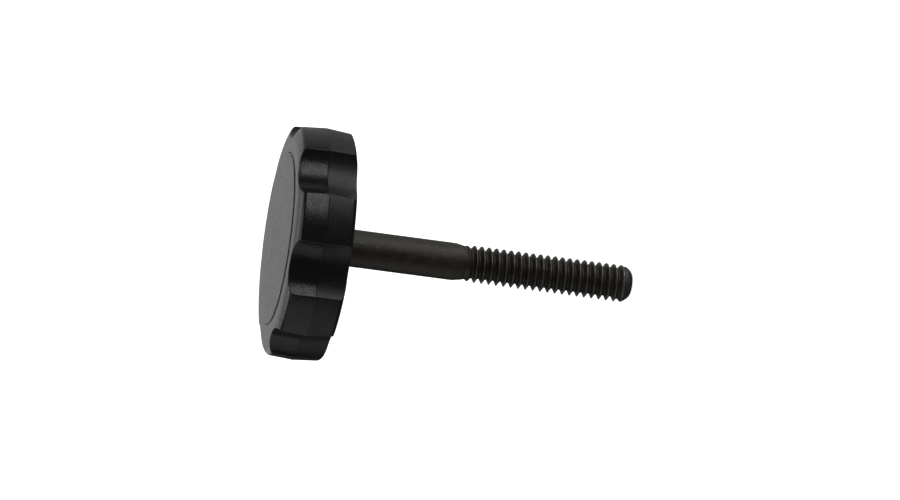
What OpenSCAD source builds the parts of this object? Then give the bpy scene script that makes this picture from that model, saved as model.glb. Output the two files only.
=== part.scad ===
// Seven-lobe clamping knob on a threaded steel stud, with a snap-in face cap.
// Millimetres. Z is the stud's axis: the knob's face looks along +Z, the stud points along -Z.
// The origin is the centre of the hub's seating face, where the stud leaves the knob.

/* [Knob] */
// Number of lobes around the rim
lobes = 7; // [6:1:8]
// Radius over the lobes, at the mould's parting line
knob_r = 19.9; // [19:0.1:22]
// Height of the flat face above the seating face
knob_h = 10; // [9.8:0.05:11.5]
// Height of the parting line above the seating face
parting_h = 5; // [4.2:0.1:5.8]
// Width of the flat that the parting line leaves round the lobes
parting_land = 0.2; // [0.1:0.05:0.4]
// Depth of the flutes between the lobes
flute_depth = 2.5; // [1.5:0.1:2.7]
// Half of the angle that each lobe fills
lobe_half_angle = 12.35; // [10.5:0.05:13.5]
// Draft of the rim in front of the parting line, in degrees
front_draft = 4; // [1:0.5:5]
// Draft of the rim behind the parting line, in degrees
rear_draft = 5; // [1:0.5:6]
// How far in from the rim the front edge starts to round over
front_round_w = 3.4; // [1:0.1:3.6]
// How far back from the face the front edge is rounded
front_round_h = 1.25; // [0.5:0.05:1.6]
// How far in from the rim the rear edge starts to round over
rear_round_w = 2.5; // [0.5:0.1:2.6]
// How far forward from the back the rear edge is rounded
rear_round_h = 1; // [0.3:0.05:1.4]

/* [Back of the knob] */
// Radius of the hub around the stud
hub_r = 8.4; // [8:0.1:9.5]
// Chamfer round the hub's seating face
hub_chamfer = 0.5; // [0.2:0.1:0.8]
// Wall left between the cored pockets and the outside of the rim
rim_wall = 2.7; // [2.65:0.05:3.2]
// Depth of the cored pockets
core_depth = 6.2; // [4:0.1:6.4]
// Thickness of the ribs between the pockets
rib_w = 1.3; // [1:0.1:1.8]

/* [Cap] */
// Radius of the cap
cap_r = 14.45; // [13.5:0.05:14.6]
// Gap between the cap and its recess
cap_gap = 0.12; // [0.08:0.01:0.2]
// Thickness of the cap at its edge
cap_edge = 1.75; // [1.6:0.05:1.85]
// How far the cap's edge stands proud of the knob's face
cap_proud = 0.15; // [0.05:0.05:0.3]
// How much higher the cap's centre is than its edge
cap_crown = 0.3; // [0.1:0.05:0.6]

/* [Stud] */
// Length of the stud beyond the seating face
stud_len = 50.8; // [45:0.1:60]
// Length of the plain shank beyond the seating face
plain_len = 20; // [12:0.1:24]
// Diameter of the plain shank
shank_d = 6.34; // [6.32:0.01:6.36]
// Diameter over the thread's crests
thread_d = 6.32; // [6.2:0.01:6.32]
// Distance between the thread's crests
pitch = 1.27; // [1.27:0.01:1.3]
// Length of the rounded tip
tip_len = 2.4; // [2.2:0.1:3]
// Diameter of the neck that is pressed into the hub
neck_d = 7; // [6.8:0.05:7.4]
// Width of the hex head across its flats
head_af = 11.11; // [10.9:0.01:11.2]
// Height of the hex head
head_h = 4; // [3.8:0.1:4.1]
// Height of the seat under the hex head
head_seat = 3.8; // [3.4:0.1:3.8]

/* [Hidden] */
overlap = 0.01;
reach = 1;

// the knob
lobe_pitch = 360 / lobes;
first_lobe = -90;
flute_edge_angle = lobe_pitch / 2 - lobe_half_angle;
flute_bottom_r = knob_r - flute_depth;
flute_centre = (knob_r * knob_r - flute_bottom_r * flute_bottom_r)
    / (2 * (knob_r * cos(flute_edge_angle) - flute_bottom_r));
flute_r = flute_centre - flute_bottom_r;
front_rim_z = knob_h - front_round_h;
front_rim_r = knob_r - (front_rim_z - parting_h) * tan(front_draft);
rear_rim_r = knob_r - (parting_h - rear_round_h) * tan(rear_draft);

// the cap's recess, with a groove that its bead snaps into
recess_r = cap_r + cap_gap;
recess_z = knob_h + cap_proud - cap_edge;
bead_out = 0.25;
bead_low = 0.25;
bead_high = 0.75;
bead_gap = 0.05;

// the cap: a plate with a skirt at its rim and a boss over the screw's head
cap_top = knob_h + cap_proud;
skirt_w = 1.4;
plate_w = 1.1;
boss_r = 4.6;
cap_chamfer = 0.12;

// the fit of the stud in the hub, and the chamfer on its head
press_gap = 0.02;
head_gap = 0.05;
head_corner_r = head_af / 2 / cos(30);
head_face_r = 0.475 * head_af;
head_chamfer_h = (head_corner_r - head_face_r) * tan(30);

// the thread: a truncated 60 degree profile, as [distance down the axis, radius]
steps = 28;
// the angle round the stud at which the first turn starts
thread_start = -81;
thread_depth = 0.6134 * pitch;
crest_r = thread_d / 2;
root_r = crest_r - thread_depth;
crest_flat = pitch / 8;
flank = (crest_r - root_r) * tan(30);
profile = [
    [0, root_r],
    [flank, crest_r],
    [flank + crest_flat, crest_r],
    [2 * flank + crest_flat, root_r]
];
corners = len(profile);

// the taper from the shank to the thread, and how the ridge grows over its first turns
runout_len = 1.8;
runout_r = 2.9;
runout_tail = 0.7;
first_ridge = 0.3;
grow_len = 2.2 * pitch;

// the thread's length, and how its groove fills up at the rounded tip
thread_top = -plain_len - runout_len + pitch;
tip_clear = 0.5;
turns = floor((thread_top + stud_len - tip_clear) / pitch) - 1;
last = turns * steps;
thread_end = thread_top - (turns + 1) * pitch;
last_groove = 0.05;
fill_len = 2 * pitch;
nose_flat_r = 1.3;
nose_gap = 0.05;
nose_rings = 8;

// points on an elliptical arc from angle a0 to angle a1
function arc(x, y, rx, ry, a0, a1, n) = [
    for (i = [0:n]) let (a = a0 + (a1 - a0) * i / n) [x + rx * cos(a), y + ry * sin(a)]
];

// the largest radius that the rounded tip allows at height z
function tip_limit(z) =
    let (t = max(0, 1 - (z + stud_len) / tip_len))
    nose_flat_r + (crest_r - nose_flat_r) * sqrt(1 - t * t);

// a thread radius at height z: the ridge fades in from the shank, the groove fades out at the tip
function thread_radius(r, z) =
    let (fade_in = min(1, max(first_ridge, (thread_top - z) / grow_len)))
    let (fade_out = min(1, max(last_groove, (z - thread_end - pitch) / fill_len)))
    min(crest_r - (crest_r - root_r - (r - root_r) * fade_in) * fade_out, tip_limit(z));

// corner j of the profile after k steps down a right-hand helix
function helix_point(k, j) =
    let (z = thread_top - profile[j][0] - pitch * k / steps)
    let (r = thread_radius(profile[j][1], z))
    [r * cos(360 * k / steps), -r * sin(360 * k / steps), z];

// where that corner is in the list of points: one turn's lower edge is the next turn's first corner
function corner_index(k, j) =
    j == corners ? corner_index(k + steps, 0)
    : k <= last ? k * corners + j
    : (last + 1) * corners + k - last - 1;

module outline_revolved() {
    rotate_extrude($fn = 120) polygon(concat(
        [[0, 0]],
        arc(rear_rim_r - rear_round_w, rear_round_h, rear_round_w, rear_round_h, -90, 0, 8),
        [[knob_r, parting_h - parting_land / 2], [knob_r, parting_h + parting_land / 2]],
        arc(front_rim_r - front_round_w, front_rim_z, front_round_w, front_round_h, 0, 90, 8),
        [[0, knob_h]]
    ));
}

// one flute: two cones that meet at the parting line
module flute(extra_r = 0) {
    low = -reach;
    high = knob_h + reach;
    rotate_extrude($fn = 96) polygon([
        [0, low],
        [flute_r + extra_r + (parting_h - low) * tan(rear_draft), low],
        [flute_r + extra_r, parting_h],
        [flute_r + extra_r + (high - parting_h) * tan(front_draft), high],
        [0, high]
    ]);
}

module flutes(extra_r = 0) {
    for (i = [0:lobes - 1])
        rotate(first_lobe + (i + 0.5) * lobe_pitch)
            translate([flute_centre, 0, 0]) flute(extra_r);
}

// the recess for the cap and the groove in its wall
module cap_recess() {
    rotate_extrude($fn = 120) polygon([
        [0, recess_z],
        [recess_r, recess_z],
        [recess_r + bead_out, recess_z + bead_low],
        [recess_r + bead_out, recess_z + bead_high],
        [recess_r, recess_z + bead_high + bead_out],
        [recess_r, knob_h + reach],
        [0, knob_h + reach]
    ]);
}

// cored pockets in the back, with a rib under every lobe and every flute
module core_pockets() {
    difference() {
        rotate_extrude($fn = 120) polygon([
            [hub_r - hub_chamfer, -reach],
            [hub_r - hub_chamfer, 0],
            [hub_r, hub_chamfer],
            [hub_r, core_depth],
            [rear_rim_r - rim_wall, core_depth],
            [rear_rim_r - rim_wall, -reach]
        ]);
        flutes(rim_wall);
        for (i = [0:2 * lobes - 1])
            rotate(first_lobe + i * lobe_pitch / 2)
                translate([hub_r - reach, -rib_w / 2, hub_chamfer])
                    cube([knob_r, rib_w, knob_h]);
    }
}

module knob_body() {
    color([0.12, 0.12, 0.12]) difference() {
        outline_revolved();
        flutes();
        cap_recess();
        core_pockets();
        translate([0, 0, head_seat])
            cylinder(h = knob_h, r = (head_af / 2 + head_gap) / cos(30), $fn = 6);
        translate([0, 0, -reach])
            cylinder(h = head_seat + 2 * reach, d = neck_d + 2 * press_gap, $fn = 64);
    }
}

// a crowned disc with a skirt and a snap bead, and a boss that holds the screw's head down
module face_cap() {
    skirt_r = cap_r - skirt_w;
    plate_z = cap_top - plate_w;
    boss_z = head_seat + head_h + head_gap;
    crown_r = cap_r - cap_chamfer;
    bead_r = cap_r + bead_out - bead_gap;
    crown_rings = 8;
    color([0.3, 0.3, 0.3]) rotate_extrude($fn = 120) polygon(concat(
        [
            [0, boss_z],
            [boss_r, boss_z],
            [boss_r, plate_z],
            [skirt_r, plate_z],
            [skirt_r, recess_z],
            [cap_r - cap_gap, recess_z],
            [bead_r, recess_z + bead_low + bead_gap],
            [bead_r, recess_z + bead_high - bead_gap],
            [cap_r, recess_z + bead_high + bead_out - 2 * bead_gap],
            [cap_r, cap_top - cap_chamfer]
        ],
        [
            for (i = [0:crown_rings])
                let (x = crown_r * (1 - i / crown_rings))
                [x, cap_top + cap_crown * (1 - pow(x / crown_r, 2))]
        ]
    ));
}

module hex_head() {
    straight_h = head_h - head_chamfer_h;
    blank_r = head_corner_r + overlap;
    translate([0, 0, head_seat]) intersection() {
        cylinder(h = head_h, r = head_corner_r, $fn = 6);
        union() {
            cylinder(h = straight_h, r = blank_r, $fn = 96);
            translate([0, 0, straight_h])
                cylinder(h = head_chamfer_h, r1 = blank_r, r2 = head_face_r, $fn = 96);
        }
    }
}

// the helical thread as one closed surface, with its first and last turns closed to the axis
module thread() {
    top = (last + 1) * corners + steps;
    bottom = top + 1;
    points = concat(
        [for (k = [0:last]) for (j = [0:corners - 1]) helix_point(k, j)],
        [for (k = [last + 1:last + steps]) helix_point(k, 0)],
        [[0, 0, thread_top], [0, 0, thread_end + pitch / 2]]
    );
    sides = [
        for (k = [0:last - 1]) for (j = [0:corners - 1])
            let (
                a = corner_index(k + 1, j),
                b = corner_index(k, j),
                c = corner_index(k, j + 1),
                d = corner_index(k + 1, j + 1)
            )
            each [[a, b, c], [a, c, d]]
    ];
    top_faces = concat(
        [for (k = [0:steps - 1]) [top, corner_index(k, 0), corner_index(k + 1, 0)]],
        [for (j = [0:corners - 1]) [top, corner_index(0, j + 1), corner_index(0, j)]]
    );
    bottom_faces = concat(
        [for (k = [last:last + steps - 1]) [bottom, corner_index(k + 1, 0), corner_index(k, 0)]],
        [for (j = [0:corners - 1]) [bottom, corner_index(last, j), corner_index(last, j + 1)]]
    );
    polyhedron(points, concat(sides, top_faces, bottom_faces));
}

// the rounded tip that closes the last turn
module nose() {
    nose_top = thread_end + pitch;
    rotate_extrude($fn = 64) polygon(concat(
        [[0, nose_top], [0, -stud_len]],
        [
            for (i = [0:nose_rings])
                let (z = -stud_len + (nose_top + stud_len) * pow(i / nose_rings, 1.6))
                [tip_limit(z) - nose_gap, z]
        ]
    ));
}

module threaded_stud() {
    color([0.2, 0.18, 0.17]) union() {
        hex_head();
        cylinder(h = head_seat + overlap, d = neck_d, $fn = 64);
        rotate_extrude($fn = 64) polygon([
            [0, overlap],
            [shank_d / 2, overlap],
            [shank_d / 2, -plain_len],
            [runout_r, -plain_len - runout_len],
            [root_r - nose_gap, -plain_len - runout_len - runout_tail],
            [0, -plain_len - runout_len - runout_tail]
        ]);
        rotate([0, 0, thread_start]) thread();
        nose();
    }
}

knob_body();
face_cap();
threaded_stud();
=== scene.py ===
"""A seven-lobe clamping knob with a threaded stud, in studio light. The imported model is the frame."""

import math

import bmesh
import bpy
from mathutils import Matrix, Vector


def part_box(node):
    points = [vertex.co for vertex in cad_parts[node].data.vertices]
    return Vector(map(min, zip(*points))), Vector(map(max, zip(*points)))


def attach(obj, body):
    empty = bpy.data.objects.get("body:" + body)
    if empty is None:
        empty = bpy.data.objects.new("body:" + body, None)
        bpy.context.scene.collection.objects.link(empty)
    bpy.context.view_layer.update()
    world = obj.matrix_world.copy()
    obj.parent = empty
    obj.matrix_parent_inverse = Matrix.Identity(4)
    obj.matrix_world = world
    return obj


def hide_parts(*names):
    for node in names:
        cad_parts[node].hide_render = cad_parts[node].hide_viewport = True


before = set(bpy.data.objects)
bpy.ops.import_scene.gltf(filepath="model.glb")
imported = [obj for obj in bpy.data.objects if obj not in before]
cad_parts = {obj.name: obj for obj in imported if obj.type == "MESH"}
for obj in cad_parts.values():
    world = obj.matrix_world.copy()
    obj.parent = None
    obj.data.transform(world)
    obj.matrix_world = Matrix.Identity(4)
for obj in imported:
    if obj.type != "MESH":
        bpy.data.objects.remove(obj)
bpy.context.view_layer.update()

MM = 0.001
TURN = 2 * math.pi

knob_lo, knob_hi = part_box("knob_body")
cap_lo, cap_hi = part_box("face_cap")
stud_lo, stud_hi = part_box("threaded_stud")

# ---- the knob, in millimetres: the sizes that the frame gives, then the design's own
LOBES = 7
KNOB_R = -knob_lo.y / MM
KNOB_H = knob_hi.z / MM
PARTING_Z = 5.0
# the height of the flash line at the parting line, and half its width
PARTING_RIDGE = 0.03
PARTING_RIDGE_W = 0.06
FLUTE_DEPTH = 2.5
LOBE_HALF = math.radians(12.35)
FRONT_DRAFT = math.tan(math.radians(4))
REAR_DRAFT = math.tan(math.radians(5))
FRONT_ROUND_W = 3.4
FRONT_ROUND_H = 1.25
REAR_ROUND_W = 2.5
REAR_ROUND_H = 1.0
FLUTE_REAR_ROUND = 0.15
# how softly a lobe's edge is rounded, below the rounded front edge and on it
EDGE_BLEND = 0.14
FRONT_EDGE_BLEND = 0.22
# where there are no ribs, the first and the last stretch of the mesh's columns are this wide
END_STRETCH = math.radians(2.5)

HUB_R = 8.4
HUB_CHAMFER = 0.5
RIM_WALL = 2.7
CORE_DEPTH = 6.2
CORE_BLEND = 1.2
RIB_W = 1.3
WALL_RUN = 0.2
FLOOR_FILLET = 0.5
BORE_R = 3.52
HEAD_SEAT = 3.8
HEAD_AF = 11.11
HEAD_GAP = 0.05
BORE_CHAMFER = 0.15
GROOVE_DEPTH = 0.25
# how softly a rib meets the rim's wall and the hub, and where the fillets at a pocket's foot have ended
RIB_BLEND = 0.3
FLOOR_START = 0.9

# ---- the cap
CAP_STEPS = 288
CAP_R = 14.45
CAP_GAP = 0.12
CAP_TOP = cap_hi.z / MM
CAP_CROWN = 0.3
CAP_EDGE_Z = CAP_TOP - CAP_CROWN
CAP_FLOOR = cap_lo.z / MM
CAP_EDGE_ROUND = 0.1
CAP_PROUD = 0.15
CAP_EDGE_H = 1.75
CAP_SKIRT_W = 1.4
CAP_PLATE = 1.1
CAP_BOSS_R = 4.6
CAP_BEAD = 0.18
RECESS_Z = KNOB_H + CAP_PROUD - CAP_EDGE_H
RECESS_R = CAP_R + CAP_GAP

# ---- the stud
STUD_END = stud_lo.z / MM
HEAD_TOP = stud_hi.z / MM
HEAD_FLAT_R = HEAD_AF * 0.475
SHANK_R = 3.17
NECK_R = 3.5
PLAIN_END = -20.0
TAPER_END = -21.8
TAPER_R = 2.9
PITCH = 1.27
CREST_R = 3.16
# 17/24 of the height of the sharp 60 degree thread, as UNC external threads have
THREAD_DEPTH = 0.6134 * PITCH
ROOT_R = CREST_R - THREAD_DEPTH
TIP_LEN = 2.4
TIP_FLAT_R = 1.25
TIP_BLEND = 0.12
# a crest lies at this height on the side that polar angle CREST_ANGLE gives
CREST_Z = -25.26
CREST_ANGLE = math.radians(168)

HALF_PITCH = math.pi / LOBES
FLUTE_EDGE = HALF_PITCH - LOBE_HALF
PLAIN_ANCHORS = (END_STRETCH, LOBE_HALF, HALF_PITCH - END_STRETCH)
FLUTE_BOTTOM = KNOB_R - FLUTE_DEPTH
FLUTE_C = (KNOB_R**2 - FLUTE_BOTTOM**2) / (2 * (KNOB_R * math.cos(FLUTE_EDGE) - FLUTE_BOTTOM))
FLUTE_R = FLUTE_C - FLUTE_BOTTOM
FRONT_RIM_Z = KNOB_H - FRONT_ROUND_H
SKIN_R = KNOB_R - PARTING_RIDGE
FRONT_RIM_R = SKIN_R - (FRONT_RIM_Z - PARTING_Z) * FRONT_DRAFT
REAR_RIM_R = SKIN_R - (PARTING_Z - REAR_ROUND_H) * REAR_DRAFT


# ---------------------------------------------------------------- small helpers
def clamp(x, low=0.0, high=1.0):
    return max(low, min(high, x))


def mix(a, b, t):
    return a + (b - a) * t


def smooth(t):
    t = clamp(t)
    return t * t * (3 - 2 * t)


def smooth_min(a, b, k):
    h = max(k - abs(a - b), 0) / k
    return min(a, b) - h * h * k / 4


def spread(a, b, n):
    """n + 1 values from a to b."""
    return [mix(a, b, i / n) for i in range(n + 1)]


def ring_mesh(name, rings, loop=False, closed_start=False, closed_end=False, seam=False):
    """A mesh from rings of points in millimetres, each joined to the next, with an optional fan at each end.
    With a seam, a ring's last point is not joined to its first: it ends over or under its own start."""
    n = len(rings[0])
    steps = n - 1 if seam else n
    verts = [Vector(p) * MM for ring in rings for p in ring]
    faces = []
    pairs = len(rings) if loop else len(rings) - 1
    for a in range(pairs):
        b = (a + 1) % len(rings)
        for i in range(steps):
            j = (i + 1) % n
            faces.append((a * n + i, a * n + j, b * n + j, b * n + i))
    for wanted, ring, turn in ((closed_start, 0, 1), (closed_end, len(rings) - 1, -1)):
        if wanted:
            centre = len(verts)
            verts.append(sum((verts[ring * n + i] for i in range(steps)), Vector()) / steps)
            for i in range(steps):
                j = (i + 1) % n
                faces.append((ring * n + i, centre, ring * n + j)[::turn])
    mesh = bpy.data.meshes.new(name)
    mesh.from_pydata(verts, [], faces)
    mesh.validate()
    mesh.shade_smooth()
    piece = bpy.data.objects.new(name, mesh)
    bpy.context.scene.collection.objects.link(piece)
    return piece


def tidy_mesh(piece, distance=1e-7):
    """Merges points that coincide, drops what has no area, and points every face outwards."""
    work = bmesh.new()
    work.from_mesh(piece.data)
    bmesh.ops.remove_doubles(work, verts=work.verts, dist=distance)
    bmesh.ops.dissolve_degenerate(work, edges=work.edges, dist=distance)
    bmesh.ops.recalc_face_normals(work, faces=work.faces)
    work.to_mesh(piece.data)
    work.free()
    piece.data.shade_smooth()


# ---------------------------------------------------------------- the knob's shape
def half_lobe_columns():
    """Where the mesh's columns lie between a lobe's centre and a flute's: (stretch, share of it).
    The four stretches end at the lobe's rib, the flute's edge, the flute's rib and the flute's centre."""
    rib = [0.5, 0.85, 1]
    lobe = [0.03, 0.07, 0.14, 0.26, 0.4, 0.54, 0.68, 0.79, 0.88, 0.94, 0.975, 1]
    flute = [0.02, 0.045, 0.09, 0.16, 0.26, 0.38, 0.5, 0.62, 0.74, 0.85, 0.93, 0.97, 1]
    stretches = (rib, lobe, flute, [0.15, 0.5, 1])
    return [(s, t) for s, part in enumerate(stretches) for t in part]


COLUMNS = half_lobe_columns()


def knob_ring(anchors, point):
    """One ring of the knob. anchors are angles from a lobe's centre, where the first three stretches end.
    point(angle) gives (radius, height) at an angle from the nearest lobe's centre."""
    ends = [0, *anchors, HALF_PITCH]
    angles = [mix(ends[s], ends[s + 1], t) for s, t in COLUMNS]
    one_lobe = [-a for a in reversed(angles[:-1])] + [0] + angles
    ring = []
    for lobe in range(LOBES):
        for a in one_lobe:
            r, z = point(abs(a))
            polar = -math.pi / 2 + lobe * 2 * HALF_PITCH + a
            ring.append((r * math.cos(polar), r * math.sin(polar), z))
    return ring


def ridge(z):
    """The thin flash line that the mould's halves leave."""
    return PARTING_RIDGE * max(0, 1 - abs(z - PARTING_Z) / PARTING_RIDGE_W)


def flute_wall(angle, z):
    """The radius of the flute's wall at an angle from a lobe's centre, or a large one outside the flute."""
    draft = FRONT_DRAFT if z > PARTING_Z else REAR_DRAFT
    radius = FLUTE_R + abs(z - PARTING_Z) * draft
    off = FLUTE_C * math.sin(HALF_PITCH - angle)
    if abs(off) > 0.995 * radius:
        return 2 * KNOB_R
    wall = FLUTE_C * math.cos(HALF_PITCH - angle) - math.sqrt(radius**2 - off**2) + ridge(z)
    low = FLUTE_REAR_ROUND
    if z < low:
        wall -= low - math.sqrt(low**2 - (low - z) ** 2)
    return wall


def flute_edge_angle(r, z):
    """The angle from a lobe's centre at which the flute cuts a circle of radius r."""
    draft = FRONT_DRAFT if z > PARTING_Z else REAR_DRAFT
    radius = FLUTE_R + abs(z - PARTING_Z) * draft
    c = (FLUTE_C**2 + r**2 - radius**2) / (2 * FLUTE_C * r)
    return HALF_PITCH - max(math.acos(clamp(c, -1, 1)), 2 * END_STRETCH)


def skin_ring(r, z):
    """A ring of the outer skin: a circle of radius r at height z, cut by the flutes."""
    blend = mix(EDGE_BLEND, FRONT_EDGE_BLEND, smooth((z - FRONT_RIM_Z) / FRONT_ROUND_H))
    anchors = (END_STRETCH, flute_edge_angle(r, z), HALF_PITCH - END_STRETCH)
    return knob_ring(anchors, lambda a: (smooth_min(r, flute_wall(a, z), blend), z))


def elliptic_arc(r, z, width, height, start, end, steps):
    """Points of an ellipse round (r, z), between two angles in degrees."""
    return [
        (r + width * math.cos(a), z + height * math.sin(a))
        for a in spread(math.radians(start), math.radians(end), steps)
    ]


def outer_profile():
    """(radius, height) from the face's inner edge, over the front edge and down the rim to the back."""
    face = [(RECESS_R + d, KNOB_H - h) for d, h in ((0, 0.08), (0.02, 0.03), (0.08, 0))]
    face += [(r, KNOB_H) for r in spread(RECESS_R + 0.4, FRONT_RIM_R - FRONT_ROUND_W - 0.1, 3)]
    front_r = FRONT_RIM_R - FRONT_ROUND_W
    front_arc = elliptic_arc(front_r, FRONT_RIM_Z, FRONT_ROUND_W, FRONT_ROUND_H, 90, 0, 28)
    rear_r = REAR_RIM_R - REAR_ROUND_W
    rear_arc = elliptic_arc(rear_r, REAR_ROUND_H, REAR_ROUND_W, REAR_ROUND_H, 0, -90, 20)
    w = PARTING_RIDGE_W
    heights = spread(FRONT_RIM_Z - 0.4, PARTING_Z + 3 * w, 7)
    heights += [PARTING_Z + w * k for k in (1.1, 0.9, 0.45, 0, -0.45, -0.9, -1.1)]
    heights += spread(PARTING_Z - 3 * w, REAR_ROUND_H + 0.3, 7)
    rim = []
    for z in heights:
        draft = FRONT_DRAFT if z > PARTING_Z else REAR_DRAFT
        rim.append((SKIN_R - abs(z - PARTING_Z) * draft + ridge(z), z))
    return face + front_arc + rim + rear_arc


def core_edge(angle):
    """The radius where a cored pocket's outer wall meets the rear face."""
    wall = flute_wall(angle, PARTING_Z) - RIM_WALL - (PARTING_Z - 0.5) * REAR_DRAFT
    return smooth_min(REAR_RIM_R - RIM_WALL, wall, CORE_BLEND)


def sunk(distance, top, floor):
    """The height of a pocket's wall, which runs from top to floor with a draft and a fillet at its foot."""
    if distance <= 0:
        return top
    turn = floor - FLOOR_FILLET
    if distance < WALL_RUN:
        return mix(top, turn, distance / WALL_RUN)
    x = clamp((distance - WALL_RUN) / FLOOR_FILLET)
    return turn + FLOOR_FILLET * math.sqrt(1 - (1 - x) ** 2)


def core_ring(from_rim=None, from_hub=None, share=None):
    """A ring of the ribbed back, at a distance from the rim's inner wall or the hub, or part of the way."""

    def point(angle):
        edge = core_edge(angle)
        if from_rim is not None:
            r = edge - from_rim
        elif from_hub is not None:
            r = HUB_R + from_hub
        else:
            r = mix(edge - FLOOR_START, HUB_R + FLOOR_START, share)
        to_rib = min(r * math.sin(angle), r * math.sin(HALF_PITCH - angle)) - RIB_W / 2
        ring = min(sunk(edge - r, 0, CORE_DEPTH), sunk(r - HUB_R, 0, CORE_DEPTH))
        rib = sunk(to_rib, HUB_CHAMFER, CORE_DEPTH)
        return r, max(0, smooth_min(ring, rib, RIB_BLEND))

    middle = point(HALF_PITCH / 2)[0]
    rib = math.asin(RIB_W / 2 / middle)
    return knob_ring((rib, LOBE_HALF, HALF_PITCH - rib), point)


def plain_ring(r, z):
    return knob_ring(PLAIN_ANCHORS, lambda a: (r, z))


def hex_radius(polar, flats):
    """The radius of a hexagon that is flats wide, with a corner on polar angle 0."""
    side = TURN / 6
    return flats / 2 / math.cos((polar % side) - side / 2)


def hex_ring(z, flats):
    """A ring of the pocket for the screw's head."""
    ring = []
    for x, y, _ in plain_ring(1, z):
        r = hex_radius(math.atan2(y, x), flats)
        ring.append((x * r, y * r, z))
    return ring


def knob_shape():
    rings = [skin_ring(r, z) for r, z in outer_profile()]
    rear = REAR_RIM_R - REAR_ROUND_W
    for t in (0.35, 0.7):
        rings.append(knob_ring(
            PLAIN_ANCHORS,
            lambda a, t=t: (mix(min(rear, flute_wall(a, 0.0)), core_edge(a), t), 0),
        ))
    # where rows lie on a pocket's wall and on the fillet at its foot
    down_wall = (0, 0.04, 0.1, 0.16, 0.2, 0.27, 0.38, 0.52, 0.7)
    rings += [core_ring(from_rim=d) for d in (-0.25, -0.03, *down_wall)]
    rings += [core_ring(share=t) for t in spread(0, 1, 8)]
    rings += [core_ring(from_hub=d) for d in reversed(down_wall)]
    rings += [plain_ring(HUB_R - HUB_CHAMFER * t, 0) for t in (0.3, 0.7, 1)]
    rings += [plain_ring(r, 0) for r in spread(HUB_R - 1, BORE_R + 0.35, 4)]
    rings += [plain_ring(BORE_R + BORE_CHAMFER * (1 - t), BORE_CHAMFER * t) for t in (0, 0.5, 1)]
    rings += [plain_ring(BORE_R, z) for z in (0.4, HEAD_SEAT - 0.2, HEAD_SEAT)]
    pocket = HEAD_AF + 2 * HEAD_GAP
    rings += [hex_ring(z, pocket) for z in (HEAD_SEAT, HEAD_SEAT + 0.3, RECESS_Z - 0.2, RECESS_Z)]
    rings += [plain_ring(r, RECESS_Z) for r in (7.5, 10, 12.5, RECESS_R - 0.1, RECESS_R)]
    groove = ((GROOVE_DEPTH, 0.25), (GROOVE_DEPTH, 0.75), (0, 1))
    rings += [plain_ring(RECESS_R + d, RECESS_Z + h) for d, h in groove]
    rings += [plain_ring(RECESS_R, z) for z in (KNOB_H - 0.3, KNOB_H - 0.15)]
    piece = ring_mesh("moulded_knob", rings, loop=True)
    tidy_mesh(piece)
    return piece


# ---------------------------------------------------------------- the cap and the stud
def circle(r, z, n):
    return [(r * math.cos(TURN * i / n), r * math.sin(TURN * i / n), z) for i in range(n)]


def crown(r):
    return CAP_EDGE_Z + CAP_CROWN * (1 - (r / CAP_R) ** 2)


def cap_shape():
    skirt_r = CAP_R - CAP_SKIRT_W
    plate_z = KNOB_H + CAP_PROUD - CAP_PLATE
    boss_r = CAP_BOSS_R
    e = CAP_EDGE_ROUND
    profile = [(r, crown(r)) for r in (0.3, 1, 2.5, 4.5, 6.5, 8.5, 10.5, 12, 13, 13.7)]
    for i in range(7):
        a = math.pi / 2 * (1 - i / 6)
        profile.append((CAP_R - e + e * math.cos(a), crown(CAP_R - e) - e + e * math.sin(a)))
    profile += [(CAP_R, RECESS_Z + z) for z in (1.25, 1.05, 0.92)]
    profile += [(CAP_R + CAP_BEAD, RECESS_Z + z) for z in (0.7, 0.32)]
    profile += [(CAP_R - 0.1, RECESS_Z + 0.02), (CAP_R - 0.3, RECESS_Z), (skirt_r, RECESS_Z)]
    profile += [(skirt_r, plate_z - 0.1), (skirt_r - 0.1, plate_z), (boss_r + 0.1, plate_z)]
    profile += [(boss_r, plate_z - 0.1), (boss_r, CAP_FLOOR + 0.1)]
    profile += [(boss_r - 0.1, CAP_FLOOR), (0.5, CAP_FLOOR)]
    rings = [circle(r, z, CAP_STEPS) for r, z in profile]
    piece = ring_mesh("speckled_cap", rings, closed_start=True, closed_end=True)
    tidy_mesh(piece)
    return piece


STEPS = 96
# one pitch of the rolled thread, from root to root: (share of the pitch, share of the thread's height)
THREAD = (
    (0.0, 0.0), (0.07, 0.02), (0.12, 0.1), (0.27, 0.49), (0.425, 0.9), (0.45, 0.975), (0.472, 1.0),
    (0.5, 0.93), (0.528, 1.0), (0.55, 0.975), (0.575, 0.9), (0.73, 0.49), (0.88, 0.1), (0.93, 0.02),
)
THREAD_TOP = PLAIN_END - 1.1
THREAD_BOTTOM = STUD_END + 0.75
# the lengths over which the thread rises out of the shank and deepens behind the tip
FADE_IN = 2.3 * PITCH
DEEPEN = 2.1 * PITCH


def tip_limit(z):
    """The largest radius that the rounded tip allows at height z."""
    t = clamp(1 - (z - STUD_END) / TIP_LEN)
    return TIP_FLAT_R + (CREST_R - TIP_FLAT_R) * math.sqrt(1 - t * t)


def shank_radius(z):
    """The plain shank, drawn in just before the thread."""
    return mix(SHANK_R, TAPER_R, smooth((PLAIN_END - z) / (PLAIN_END - TAPER_END)))


def thread_radius(height, z):
    """The thread's surface: height is the share of the full ridge at this point of the profile."""
    fade_in = smooth((THREAD_TOP - z) / FADE_IN)
    fill = smooth((z - THREAD_BOTTOM + 0.3) / DEEPEN)
    full = CREST_R - (CREST_R - ROOT_R) * (1 - height) * fill
    r = mix(shank_radius(z), full, fade_in)
    # above the tip the limit stands clear of the crests, so that the blend doesn't shave them
    clear = TIP_BLEND * smooth((z - THREAD_BOTTOM) / PITCH)
    return smooth_min(r, tip_limit(z) + clear, TIP_BLEND)


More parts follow.
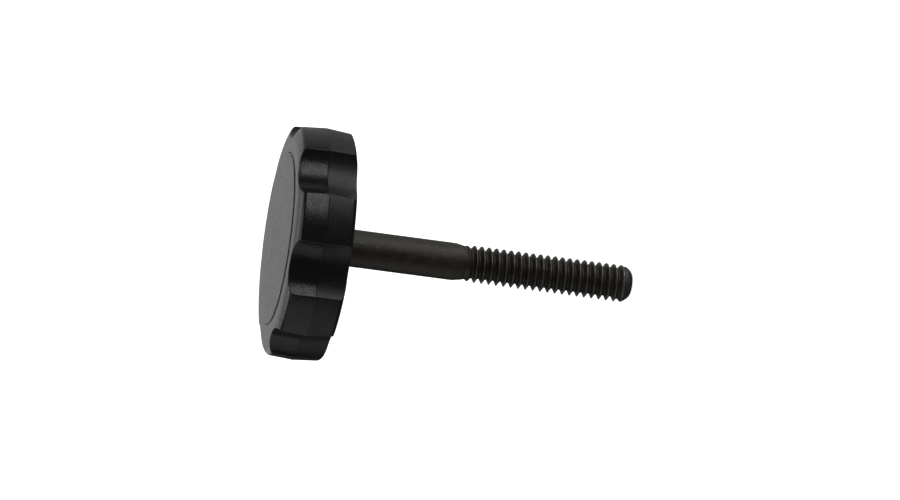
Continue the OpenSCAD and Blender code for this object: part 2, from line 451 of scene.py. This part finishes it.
def thread_rings():
    """Rows of points that follow a right-hand helix, held between the thread's two ends.
    A row goes once round and ends where the row one pitch above it starts."""
    turns = math.ceil((THREAD_TOP - THREAD_BOTTOM) / PITCH) + 1
    # the root just above the first crest, on the side where the columns start
    crest = CREST_Z - PITCH * CREST_ANGLE / TURN
    first_root = crest + PITCH / 2
    while first_root < THREAD_TOP + PITCH:
        first_root += PITCH
    rows = []
    for turn in range(turns + 3):
        for share, height in THREAD:
            row = []
            for i in range(STEPS + 1):
                angle = TURN * i / STEPS
                z = first_root - PITCH * (turn + share) + PITCH * i / STEPS
                z = clamp(z, THREAD_BOTTOM, THREAD_TOP)
                r = thread_radius(height, z)
                if z == THREAD_TOP:
                    r = min(shank_radius(z), tip_limit(z))
                elif z == THREAD_BOTTOM:
                    r = tip_limit(z)
                row.append((r * math.cos(angle), r * math.sin(angle), z))
            rows.append(row)
    return rows


def head_ring(z, limit):
    """A ring of the hex head, rounded off by a circle of radius limit."""
    ring = []
    for x, y, _ in circle(1, z, STEPS):
        r = min(hex_radius(math.atan2(y, x), HEAD_AF), limit)
        ring.append((x * r, y * r, z))
    return ring


def stud_shape():
    corner = HEAD_AF / 2 / math.cos(math.pi / 6)
    drop = (corner - HEAD_FLAT_R) * math.tan(math.pi / 6)
    rings = [circle(r, HEAD_TOP, STEPS) for r in (1.5, 3, 4.5, HEAD_FLAT_R)]
    for t in (0.25, 0.5, 0.75, 1):
        rings.append(head_ring(HEAD_TOP - drop * t, mix(HEAD_FLAT_R, corner, t)))
    rings += [head_ring(z, corner) for z in (HEAD_TOP - 1.5, HEAD_SEAT + 0.3, HEAD_SEAT)]
    rings += [circle(NECK_R, z, STEPS) for z in (HEAD_SEAT, HEAD_SEAT - 0.3, 0.3, 0.05, 0.02)]
    rings += [circle(SHANK_R, z, STEPS) for z in (0.0, -0.2)]
    rings += [circle(shank_radius(z), z, STEPS) for z in spread(-1, THREAD_TOP + 0.1, 24)]
    tip = [THREAD_BOTTOM - (THREAD_BOTTOM - STUD_END) * t for t in (0.2, 0.4, 0.6, 0.78, 0.92)]
    nose = [circle(tip_limit(z), z, STEPS) for z in tip]
    nose += [circle(TIP_FLAT_R * t, STUD_END + 0.02 * t, STEPS) for t in (0.96, 0.85, 0.6, 0.3)]
    rings = [ring + ring[:1] for ring in rings] + thread_rings() + [ring + ring[:1] for ring in nose]
    piece = ring_mesh("oxide_stud", rings, closed_start=True, closed_end=True, seam=True)
    tidy_mesh(piece, 2e-6)
    return piece


# ---------------------------------------------------------------- materials
class Nodes:
    """A short way to build a material's nodes."""

    def __init__(self, name):
        self.material = bpy.data.materials.new(name)
        self.material.use_nodes = True
        self.tree = self.material.node_tree
        self.shader = self.tree.nodes["Principled BSDF"]
        self.place = self.add("ShaderNodeTexCoord").outputs["Object"]

    def add(self, kind, **settings):
        node = self.tree.nodes.new(kind)
        for key, value in settings.items():
            setattr(node, key, value)
        return node

    def join(self, out, socket):
        self.tree.links.new(out, socket)

    def noise(self, scale, detail=3.0, roughness=0.55, place=None):
        node = self.add("ShaderNodeTexNoise")
        node.inputs["Scale"].default_value = scale
        node.inputs["Detail"].default_value = detail
        node.inputs["Roughness"].default_value = roughness
        self.join(place or self.place, node.inputs["Vector"])
        return node.outputs["Fac"]

    def ramp(self, value, stops):
        node = self.add("ShaderNodeValToRGB")
        node.color_ramp.elements.remove(node.color_ramp.elements[1])
        for i, (at, colour) in enumerate(stops):
            stop = node.color_ramp.elements[0] if i == 0 else node.color_ramp.elements.new(at)
            stop.position = at
            stop.color = (*colour, 1)
        self.join(value, node.inputs["Fac"])
        return node.outputs["Color"]

    def span(self, value, low, high, to_low=0.0, to_high=1.0):
        node = self.add("ShaderNodeMapRange")
        for key, number in (("From Min", low), ("From Max", high), ("To Min", to_low), ("To Max", to_high)):
            node.inputs[key].default_value = number
        self.join(value, node.inputs["Value"])
        return node.outputs["Result"]

    def math(self, operation, a, b=None):
        node = self.add("ShaderNodeMath", operation=operation)
        for socket, value in zip(node.inputs, (a, b)):
            if value is None:
                continue
            if isinstance(value, (int, float)):
                socket.default_value = value
            else:
                self.join(value, socket)
        return node.outputs["Value"]

    def blend(self, share, a, b):
        node = self.add("ShaderNodeMix", data_type="RGBA")
        self.join(share, node.inputs[0])
        for socket, value in ((node.inputs[6], a), (node.inputs[7], b)):
            if isinstance(value, tuple):
                socket.default_value = (*value, 1)
            else:
                self.join(value, socket)
        return node.outputs[2]

    def split(self):
        node = self.add("ShaderNodeSeparateXYZ")
        self.join(self.place, node.inputs["Vector"])
        return node.outputs["X"], node.outputs["Y"], node.outputs["Z"]

    def stretched(self, scale):
        node = self.add("ShaderNodeMapping")
        node.inputs["Scale"].default_value = scale
        self.join(self.place, node.inputs["Vector"])
        return node.outputs["Vector"]

    def bump(self, height, distance, strength, below=None):
        node = self.add("ShaderNodeBump")
        node.inputs["Strength"].default_value = strength
        node.inputs["Distance"].default_value = distance
        self.join(height, node.inputs["Height"])
        if below is not None:
            self.join(below, node.inputs["Normal"])
        return node.outputs["Normal"]

    def finish(self, colour, roughness, normal):
        self.join(colour, self.shader.inputs["Base Color"])
        self.join(roughness, self.shader.inputs["Roughness"])
        self.join(normal, self.shader.inputs["Normal"])
        return self.material


def knob_plastic():
    """Black moulded plastic: a grained rim, glossier in front of the parting line, and a smooth face."""
    m = Nodes("knob_plastic")
    _, _, z = m.split()
    front = m.span(z, (PARTING_Z - 0.03) * MM, (PARTING_Z + 0.03) * MM)
    face = m.span(z, (FRONT_RIM_Z + 0.7) * MM, (FRONT_RIM_Z + 0.95) * MM)
    rim = m.math("SUBTRACT", 1.0, face)
    grain = m.noise(3000, 2.5, 0.6)
    cloud = m.noise(260, 4)
    colour = m.ramp(cloud, [(0.3, (0.0105, 0.0108, 0.011)), (0.7, (0.0145, 0.0145, 0.0142))])
    rough = m.math("ADD", m.math("MULTIPLY", front, -0.16), 0.38)
    rough = m.math("ADD", rough, m.math("MULTIPLY", face, 0.1))
    rough = m.math("ADD", rough, m.span(m.noise(900, 3), 0.3, 0.7, -0.05, 0.05))
    height = m.math("MULTIPLY", grain, m.math("MULTIPLY", rim, m.span(front, 0, 1, 0.5, 1)))
    fine = m.bump(height, 0.035 * MM, 0.9)
    glint = m.ramp(m.noise(1900, 2), [(0.35, (0.72, 0.86, 1)), (0.5, (1, 1, 1)), (0.62, (1, 0.82, 0.88))])
    m.join(glint, m.shader.inputs["Specular Tint"])
    soft = m.bump(m.noise(500, 3), 0.01 * MM, 0.5, fine)
    return m.finish(colour, rough, soft)


def cap_plastic():
    """Matte, finely speckled plastic with a few scuffs near the middle."""
    m = Nodes("cap_plastic")
    x, y, _ = m.split()
    radius = m.math("SQRT", m.math("ADD", m.math("MULTIPLY", x, x), m.math("MULTIPLY", y, y)))
    speck = m.noise(2300, 3, 0.8)
    patch = m.noise(420, 4)
    streak = m.noise(480, 5, 0.7, m.stretched((0.6, 1.2, 1)))
    middle = m.span(radius, 3.5 * MM, 6.5 * MM, 1, 0)
    scuff = m.math("MULTIPLY", m.span(streak, 0.55, 0.6), middle)
    pits = [(0.37, (0.04, 0.039, 0.038)), (0.5, (0.085, 0.083, 0.08)), (0.66, (0.105, 0.102, 0.099))]
    colour = m.ramp(speck, pits)
    colour = m.blend(scuff, colour, (0.02, 0.019, 0.018))
    rough = m.math("ADD", m.span(speck, 0.37, 0.5, 0.75, 0.4), m.span(patch, 0.3, 0.7, -0.04, 0.04))
    rough = m.math("ADD", rough, m.math("MULTIPLY", scuff, 0.2))
    normal = m.bump(speck, 0.03 * MM, 0.6)
    m.shader.inputs["Sheen Weight"].default_value = 0.7
    m.shader.inputs["Sheen Roughness"].default_value = 0.4
    return m.finish(colour, rough, normal)


def oxide_steel():
    """Black-oxide steel, rubbed bright on the thread's crests, with fine marks along the shank."""
    m = Nodes("black_oxide_steel")
    x, y, z = m.split()
    radius = m.math("SQRT", m.math("ADD", m.math("MULTIPLY", x, x), m.math("MULTIPLY", y, y)))
    threaded = m.span(z, (TAPER_END + 0.4) * MM, (TAPER_END - 0.4) * MM)
    crest = m.span(radius, (CREST_R - 0.16) * MM, (CREST_R - 0.01) * MM)
    crest = m.math("MULTIPLY", crest, threaded)
    patch = m.noise(700, 4, 0.65)
    fleck = m.noise(2600, 3, 0.6, m.stretched((1, 1, 0.35)))
    worn = m.math("MULTIPLY", crest, m.span(patch, 0.3, 0.6, 0.35, 1))
    rubbed = m.math("ADD", worn, m.span(fleck, 0.64, 0.72, 0, 0.5))
    tip = m.span(z, (STUD_END + 1.9) * MM, (STUD_END + 0.9) * MM, 0, 0.6)
    rubbed = m.math("MAXIMUM", rubbed, m.math("MULTIPLY", tip, m.span(patch, 0.35, 0.6, 0.3, 1)))
    base = m.ramp(patch, [(0.3, (0.07, 0.065, 0.057)), (0.7, (0.12, 0.113, 0.102))])
    colour = m.blend(rubbed, base, (0.3, 0.288, 0.27))
    rough = m.math("ADD", m.span(patch, 0.3, 0.7, 0.5, 0.64), m.math("MULTIPLY", rubbed, -0.1))
    normal = m.bump(fleck, 0.015 * MM, 0.6)
    m.shader.inputs["Metallic"].default_value = 0.85
    return m.finish(colour, rough, normal)


def floor_paint():
    m = Nodes("pale_floor")
    tone = m.noise(6, 2)
    colour = m.ramp(tone, [(0.3, (0.86, 0.86, 0.86)), (0.7, (0.9, 0.9, 0.9))])
    m.join(colour, m.shader.inputs["Base Color"])
    m.shader.inputs["Roughness"].default_value = 0.9
    m.shader.inputs["Emission Color"].default_value = (1, 1, 1, 1)
    m.shader.inputs["Emission Strength"].default_value = FLOOR_GLOW
    return m.material


# ---------------------------------------------------------------- the studio
FLOOR_HALF = 4.0
FLOOR_GLOW = 1.0
FILL = (0.05, 0.05, 0.05)
CAMERA_DISTANCE = 1000 * MM
CAMERA_AZIMUTH = math.radians(-12.7)
CAMERA_ELEVATION = math.radians(9.95)
CAMERA_ROLL = math.radians(7.56)
# where on the stud's axis the camera looks, and how far above and right of it the view's centre lies
AIM_Z = -20 * MM
AIM_RIGHT = -0.49 * MM
AIM_UP = 1.93 * MM
LENS = 237.7
SENSOR = 36


def away(azimuth, elevation):
    """The direction from the object towards a camera or a light."""
    return Vector((
        math.sin(azimuth) * math.cos(elevation),
        -math.cos(azimuth) * math.cos(elevation),
        math.sin(elevation),
    ))


def make_camera():
    back = away(CAMERA_AZIMUTH, CAMERA_ELEVATION)
    # the stud points to the right of the picture, and a little down
    along = Vector((0, 0, -1))
    right = (along - back * along.dot(back)).normalized()
    up = back.cross(right)
    turned_right = right * math.cos(CAMERA_ROLL) + up * math.sin(CAMERA_ROLL)
    turned_up = up * math.cos(CAMERA_ROLL) - right * math.sin(CAMERA_ROLL)
    spot = Vector((0, 0, AIM_Z)) + turned_right * AIM_RIGHT + turned_up * AIM_UP
    data = bpy.data.cameras.new("camera")
    data.lens = LENS
    data.sensor_width = SENSOR
    data.clip_start = 0.01
    data.clip_end = 20
    camera = bpy.data.objects.new("camera", data)
    bpy.context.scene.collection.objects.link(camera)
    axes = Matrix((turned_right, turned_up, back)).transposed()
    camera.matrix_world = Matrix.Translation(spot + back * CAMERA_DISTANCE) @ axes.to_4x4()
    bpy.context.scene.camera = camera


def soft_box(name, azimuth, elevation, distance, size, brightness):
    """A soft box that faces the knob. brightness is its radiance, which is what a glossy surface mirrors."""
    direction = away(math.radians(azimuth), math.radians(elevation))
    data = bpy.data.lights.new(name, "AREA")
    data.shape = "RECTANGLE"
    data.size, data.size_y = size
    data.energy = brightness * math.pi * size[0] * size[1]
    light = bpy.data.objects.new(name, data)
    bpy.context.scene.collection.objects.link(light)
    light.location = direction * distance
    light.rotation_euler = direction.to_track_quat("Z", "Y").to_euler()
    light.visible_camera = False


def make_floor():
    half = FLOOR_HALF
    z = stud_lo.z
    mesh = bpy.data.meshes.new("floor")
    corners = [(-half, -half, z), (half, -half, z), (half, half, z), (-half, half, z)]
    mesh.from_pydata(corners, [], [(0, 1, 2, 3)])
    floor = bpy.data.objects.new("floor", mesh)
    bpy.context.scene.collection.objects.link(floor)
    floor.data.materials.append(floor_paint())
    floor.visible_glossy = False
    floor.visible_diffuse = False
    floor.visible_shadow = False


def make_world():
    """White behind the object, dim round it, so that black plastic keeps its depth."""
    world = bpy.data.worlds.new("studio")
    bpy.context.scene.world = world
    world.use_nodes = True
    tree = world.node_tree
    background = tree.nodes["Background"]
    seen = tree.nodes.new("ShaderNodeLightPath")
    mixer = tree.nodes.new("ShaderNodeMix")
    mixer.data_type = "RGBA"
    mixer.inputs[6].default_value = (*FILL, 1)
    mixer.inputs[7].default_value = (1, 1, 1, 1)
    tree.links.new(seen.outputs["Is Camera Ray"], mixer.inputs[0])
    tree.links.new(mixer.outputs[2], background.inputs["Color"])
    background.inputs["Strength"].default_value = 1.0


make_camera()
make_world()
make_floor()

soft_box("key", 36, -2, 0.4, (0.28, 0.06), 3.2)
soft_box("key_low", 60, -24, 0.4, (0.38, 0.1), 2.9)
soft_box("behind", 168, 20, 0.6, (0.5, 0.36), 0.6)
soft_box("upper_side", 118, 8, 0.5, (0.5, 0.8), 0.3)
soft_box("lower_side", -95, 10, 0.5, (0.5, 0.85), 0.36)
soft_box("above", 168, 62, 0.6, (0.5, 0.4), 1.3)
soft_box("zenith", -12, 76, 0.6, (0.5, 0.4), 1.0)

for make_piece, node, slot, make_material in (
    (knob_shape, "knob_body", "knob_plastic", knob_plastic),
    (cap_shape, "face_cap", "cap_plastic", cap_plastic),
    (stud_shape, "threaded_stud", "black_oxide_steel", oxide_steel),
):
    made = make_piece()
    made.data.materials.append(make_material())
    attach(made, "root")
    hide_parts(node)

bpy.context.scene.view_settings.view_transform = "Standard"
bpy.context.scene.view_settings.look = "None"
bpy.context.scene.view_settings.exposure = 0.0
